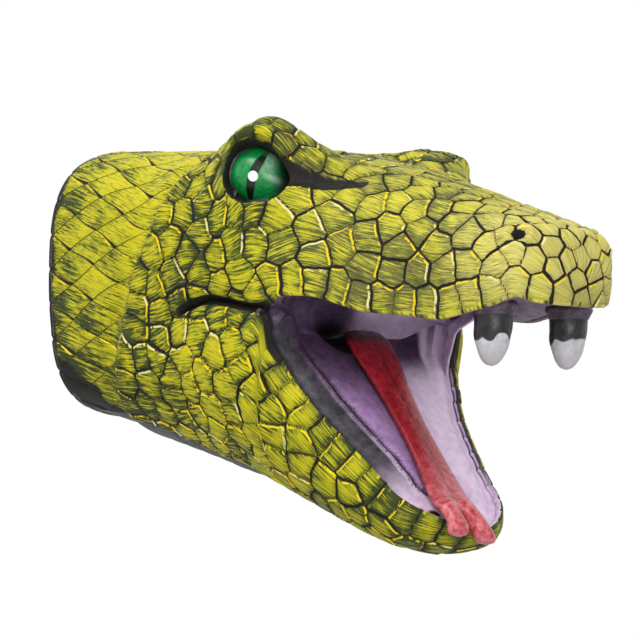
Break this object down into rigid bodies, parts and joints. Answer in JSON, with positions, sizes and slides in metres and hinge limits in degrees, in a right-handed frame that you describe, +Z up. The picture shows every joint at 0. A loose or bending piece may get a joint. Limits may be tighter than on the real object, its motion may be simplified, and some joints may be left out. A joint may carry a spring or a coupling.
{
  "type": "hand puppet",
  "caption": "Soft rubber snake-head hand puppet: a sleeve for the hand, an upper head with eyes and fangs, and a lower jaw with a tongue that opens at the mouth fold.",
  "frame": {"origin": "centre of the wrist opening at the back face of the rim", "axes": "+X along the sleeve towards the snout, +Y to the puppet's left, +Z up"},
  "size_m": [0.199, 0.0902, 0.1343],
  "materials": {
    "skin_green": "satin, dry-brushed yellow-green over dark green-grey scales",
    "skin_dark": "satin dark grey",
    "mouth_purple": "glossy painted purple",
    "mouth_lilac": "glossy painted lilac",
    "tongue_red": "glossy painted red, pink at the tips",
    "eye_green": "gloss painted green with a dark slit pupil",
    "fang_white": "satin grey-white tip, charcoal root"
  },
  "bodies": {
    "neck": {"neck_sleeve": "skin_green", "cuff_rim": "skin_dark", "belly_panel": "skin_dark", "throat_fold": "mouth_purple", "cheek_web_right": "mouth_lilac", "cheek_web_left": "mouth_lilac"},
    "head": {"head_skin": "skin_green", "palate": "mouth_purple", "eye_right": "eye_green", "eye_left": "eye_green", "fang_gum_right": "mouth_purple", "fang_gum_left": "mouth_purple", "fang_right": "fang_white", "fang_left": "fang_white"},
    "jaw": {"jaw_skin": "skin_green", "lip_band": "skin_dark", "gum_ridge": "mouth_lilac", "mouth_floor": "mouth_purple", "tongue_root": "tongue_red"},
    "tongue": {"tongue": "tongue_red"}
  },
  "joints": [
    {"name": "head_lift", "type": "hinge", "parent": "neck", "child": "head", "pos_m": [0.108, 0, -0.017], "axis": [0, -1, 0], "range_deg": [-6, 8], "stiffness_Nm_per_rad": 0.8},
    {"name": "jaw_open", "type": "hinge", "parent": "neck", "child": "jaw", "pos_m": [0.108, 0, -0.017], "axis": [0, 1, 0], "range_deg": [-30, 6], "stiffness_Nm_per_rad": 0.6},
    {"name": "tongue_flex", "type": "hinge", "parent": "jaw", "child": "tongue", "pos_m": [0.1162, 0, -0.0372], "axis": [0, -1, 0], "range_deg": [0, 8], "stiffness_Nm_per_rad": 0.05}
  ]
}
